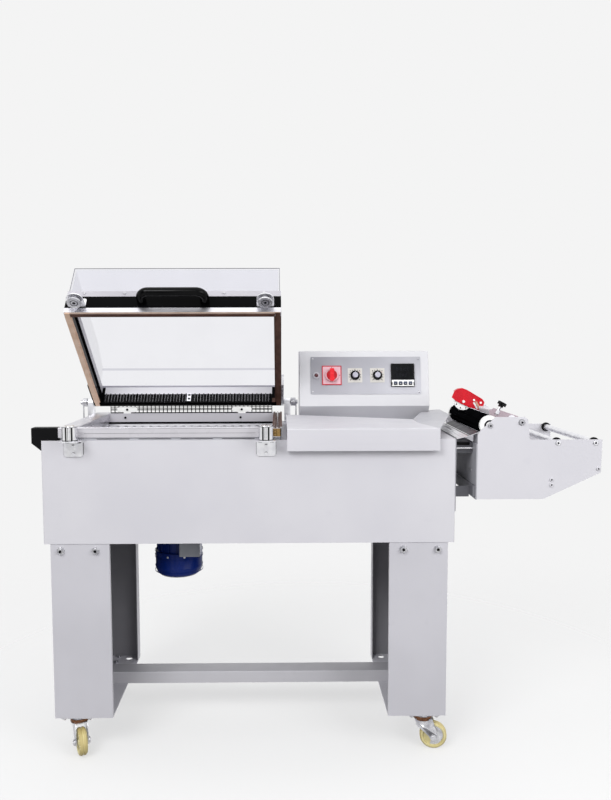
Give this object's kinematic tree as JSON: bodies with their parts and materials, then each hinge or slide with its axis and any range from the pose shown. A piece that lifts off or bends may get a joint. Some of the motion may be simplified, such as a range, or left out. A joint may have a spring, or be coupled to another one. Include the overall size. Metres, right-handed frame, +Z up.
{
  "type": "shrink wrapping machine",
  "caption": "Hood-type shrink wrapping machine on a castered stand: sealing frame, heated chamber with fan, hinged clear hood, control box, product tray and film unwinder.",
  "frame": {"origin": "middle of the whole machine's footprint, at floor level", "axes": "+X to the machine's right, towards the film unwinder; +Y to its back; +Z up"},
  "size_m": [1.5444, 0.5748, 1.362],
  "materials": {
    "cabinet_paint": "light grey powder coat, satin",
    "stand_paint": "light grey powder coat, satin",
    "panel_paint": "pale grey painted plate",
    "black_paint": "black powder coat",
    "blue_paint": "deep blue motor enamel",
    "dark_steel": "dark grey painted steel",
    "zinc_steel": "bright zinc plate",
    "stainless": "stainless sheet and wire",
    "aluminium": "brushed aluminium",
    "brass": "plain brass",
    "gasket_rubber": "matt black rubber",
    "roller_rubber": "smooth black rubber",
    "ptfe_tape": "woven heat-proof tape",
    "clear_cover": "clear polycarbonate",
    "black_plastic": "black moulded plastic",
    "key_plastic": "small dark keys",
    "red_plastic": "red moulded plastic",
    "white_plastic": "white nylon",
    "wheel_nylon": "pale yellow nylon"
  },
  "bodies": {
    "machine": {"cabinet_shell": "cabinet_paint", "cabinet_floor": "cabinet_paint", "side_frame_left": "stand_paint", "side_frame_right": "stand_paint", "cross_beam": "stand_paint", "frame_bolts": "zinc_steel", "caster_plates": "zinc_steel", "seal_frame": "aluminium", "frame_gasket": "gasket_rubber", "right_seal_bar": "aluminium", "seal_wires": "brass", "chamber_liner": "stainless", "baffle_plate": "stainless", "heater_tubes": "stainless", "motor_body": "blue_paint", "motor_cowl": "blue_paint", "electromagnets": "zinc_steel", "hinge_brackets": "black_paint", "hinge_springs": "zinc_steel", "rear_guard": "stainless", "side_cover": "black_paint", "control_box": "cabinet_paint", "control_panel": "panel_paint", "temperature_meter": "black_plastic", "product_tray": "cabinet_paint", "unwinder_front_plate": "cabinet_paint", "unwinder_rear_plate": "cabinet_paint", "unwinder_frame": "dark_steel", "film_guide": "stainless"},
    "hood": {"hood_bars": "black_paint", "hood_trim": "aluminium", "seal_pads": "ptfe_tape", "hood_cover": "clear_cover", "hood_handle": "black_plastic", "armature_plates": "zinc_steel", "hinge_arms": "black_paint", "hood_comb": "black_paint"},
    "rack": {"product_rack": "stainless"},
    "fan": {"fan_wheel": "aluminium"},
    "feed_roller": {"feed_roller": "roller_rubber"},
    "film_roller_left": {"film_roller_left": "aluminium"},
    "film_roller_right": {"film_roller_right": "aluminium"},
    "perforator_arm": {"perforator_arm": "red_plastic"},
    "perforator_wheel": {"perforator_wheel": "white_plastic"},
    "star_knob": {"star_knob": "black_plastic"},
    "switch_knob": {"switch_knob": "red_plastic"},
    "dial_knob_left": {"dial_knob_left": "black_plastic"},
    "dial_knob_right": {"dial_knob_right": "black_plastic"},
    "meter_key_a": {"meter_key_a": "key_plastic"},
    "meter_key_b": {"meter_key_b": "key_plastic"},
    "meter_key_c": {"meter_key_c": "key_plastic"},
    "meter_key_d": {"meter_key_d": "key_plastic"},
    "caster_fork_front_left": {"caster_fork_front_left": "zinc_steel"},
    "caster_wheel_front_left": {"caster_wheel_front_left": "wheel_nylon"},
    "caster_fork_front_right": {"caster_fork_front_right": "zinc_steel"},
    "caster_wheel_front_right": {"caster_wheel_front_right": "wheel_nylon"},
    "caster_fork_rear_left": {"caster_fork_rear_left": "zinc_steel"},
    "caster_wheel_rear_left": {"caster_wheel_rear_left": "wheel_nylon"},
    "caster_fork_rear_right": {"caster_fork_rear_right": "zinc_steel"},
    "caster_wheel_rear_right": {"caster_wheel_rear_right": "wheel_nylon"}
  },
  "joints": [
    {"name": "hood_hinge", "type": "hinge", "parent": "machine", "child": "hood", "pos_m": [-0.40125, 0.22457, 0.95], "axis": [1, 0, 0], "range_deg": [0, 40.7], "stiffness_Nm_per_rad": 30, "springref_deg": -91.67},
    {"name": "rack_lift", "type": "slide", "parent": "machine", "child": "rack", "axis": [0, 0, 1], "range_m": [0, 0.12]},
    {"name": "fan_spin", "type": "hinge", "parent": "machine", "child": "fan", "pos_m": [-0.40825, -0.02443, 0.69], "axis": [0, 0, 1], "continuous": true},
    {"name": "caster_swivel_front_left", "type": "hinge", "parent": "machine", "child": "caster_fork_front_left", "pos_m": [-0.67225, -0.19543, 0.0962], "axis": [0, 0, 1], "continuous": true},
    {"name": "caster_wheel_spin_front_left", "type": "hinge", "parent": "caster_fork_front_left", "child": "caster_wheel_front_left", "pos_m": [-0.66005, -0.22283, 0.0375], "axis": [0.9135, 0.4067, 0], "continuous": true},
    {"name": "caster_swivel_front_right", "type": "hinge", "parent": "machine", "child": "caster_fork_front_right", "pos_m": [0.29775, -0.19543, 0.0962], "axis": [0, 0, 1], "continuous": true},
    {"name": "caster_wheel_spin_front_right", "type": "hinge", "parent": "caster_fork_front_right", "child": "caster_wheel_front_right", "pos_m": [0.32746, -0.1996, 0.0375], "axis": [0.1392, 0.9903, 0], "continuous": true},
    {"name": "caster_swivel_rear_left", "type": "hinge", "parent": "machine", "child": "caster_fork_rear_left", "pos_m": [-0.67225, 0.14257, 0.0962], "axis": [0, 0, 1], "continuous": true},
    {"name": "caster_wheel_spin_rear_left", "type": "hinge", "parent": "caster_fork_rear_left", "child": "caster_wheel_rear_left", "pos_m": [-0.65817, 0.16906, 0.0375], "axis": [-0.8829, 0.4695, 0], "continuous": true},
    {"name": "caster_swivel_rear_right", "type": "hinge", "parent": "machine", "child": "caster_fork_rear_right", "pos_m": [0.29775, 0.14257, 0.0962], "axis": [0, 0, 1], "continuous": true},
    {"name": "caster_wheel_spin_rear_right", "type": "hinge", "parent": "caster_fork_rear_right", "child": "caster_wheel_rear_right", "pos_m": [0.32516, 0.15478, 0.0375], "axis": [-0.4067, 0.9135, 0], "continuous": true},
    {"name": "feed_roller_spin", "type": "hinge", "parent": "machine", "child": "feed_roller", "pos_m": [0.46635, -0.03443, 0.9194], "axis": [0, 1, 0], "continuous": true},
    {"name": "film_roller_spin_left", "type": "hinge", "parent": "machine", "child": "film_roller_left", "pos_m": [0.65145, -0.03443, 0.8718], "axis": [0, 1, 0], "continuous": true},
    {"name": "film_roller_spin_right", "type": "hinge", "parent": "machine", "child": "film_roller_right", "pos_m": [0.75345, -0.03443, 0.8718], "axis": [0, 1, 0], "continuous": true},
    {"name": "perforator_lift", "type": "hinge", "parent": "machine", "child": "perforator_arm", "pos_m": [0.55125, -0.03443, 0.9286], "axis": [0, 1, 0], "range_deg": [0, 60]},
    {"name": "perforator_spin", "type": "hinge", "parent": "perforator_arm", "child": "perforator_wheel", "pos_m": [0.44175, -0.01943, 0.96949], "axis": [0, 1, 0], "continuous": true},
    {"name": "star_knob_turn", "type": "hinge", "parent": "perforator_arm", "child": "star_knob", "pos_m": [0.51951, -0.13493, 0.96199], "axis": [0.4848, 0, 0.8746], "range_deg": [0, 360]},
    {"name": "switch_turn", "type": "hinge", "parent": "machine", "child": "switch_knob", "pos_m": [0.06125, 0.13772, 1.03969], "axis": [0, 0.9765, -0.2157], "range_deg": [0, 90]},
    {"name": "dial_turn_left", "type": "hinge", "parent": "machine", "child": "dial_knob_left", "pos_m": [0.13525, 0.13772, 1.03969], "axis": [0, 0.9765, -0.2157], "range_deg": [0, 270]},
    {"name": "dial_turn_right", "type": "hinge", "parent": "machine", "child": "dial_knob_right", "pos_m": [0.20625, 0.13772, 1.03969], "axis": [0, 0.9765, -0.2157], "range_deg": [0, 270]},
    {"name": "key_press_a", "type": "slide", "parent": "machine", "child": "meter_key_a", "axis": [0, 0.9765, -0.2157], "range_m": [0, 0.0015], "stiffness_N_per_m": 300},
    {"name": "key_press_b", "type": "slide", "parent": "machine", "child": "meter_key_b", "axis": [0, 0.9765, -0.2157], "range_m": [0, 0.0015], "stiffness_N_per_m": 300},
    {"name": "key_press_c", "type": "slide", "parent": "machine", "child": "meter_key_c", "axis": [0, 0.9765, -0.2157], "range_m": [0, 0.0015], "stiffness_N_per_m": 300},
    {"name": "key_press_d", "type": "slide", "parent": "machine", "child": "meter_key_d", "axis": [0, 0.9765, -0.2157], "range_m": [0, 0.0015], "stiffness_N_per_m": 300}
  ]
}
